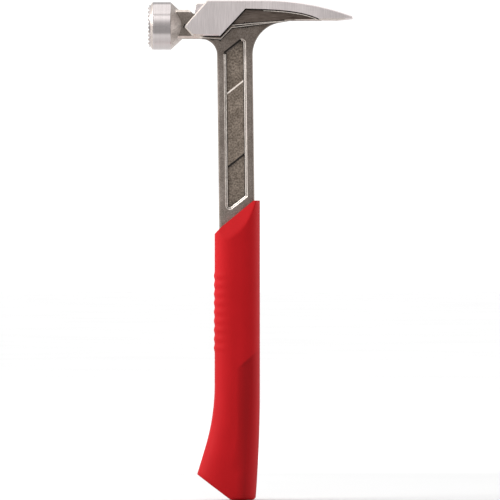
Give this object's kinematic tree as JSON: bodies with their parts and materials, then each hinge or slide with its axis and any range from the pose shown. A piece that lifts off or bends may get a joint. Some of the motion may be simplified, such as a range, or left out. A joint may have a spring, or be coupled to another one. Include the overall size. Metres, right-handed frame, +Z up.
{
  "type": "framing hammer",
  "caption": "Solid forged framing hammer with a milled striking face, straight rip claws, a magnetic nail set, an I-beam shank and a moulded grip.",
  "frame": {"origin": "the middle of the hand's hold, on the grip's axis, 103 mm above the lowest point of the butt", "axes": "+Z up the handle to the head, -X out of the striking face, +X towards the claws, Y across; the head is symmetric about Y = 0"},
  "size_m": [0.1562, 0.0368, 0.381],
  "materials": {
    "forged_steel": "ground satin bell, cheeks and claws; dark blasted shank, panels and pockets",
    "plated_magnet": "bright nickel plate",
    "core_plastic": "matt moulded",
    "grip_rubber": "satin moulded elastomer, red"
  },
  "bodies": {
    "root": {"forged_head_and_shank": "forged_steel", "nail_magnet": "plated_magnet", "grip_core": "core_plastic", "grip_sleeve": "grip_rubber"}
  },
  "joints": []
}
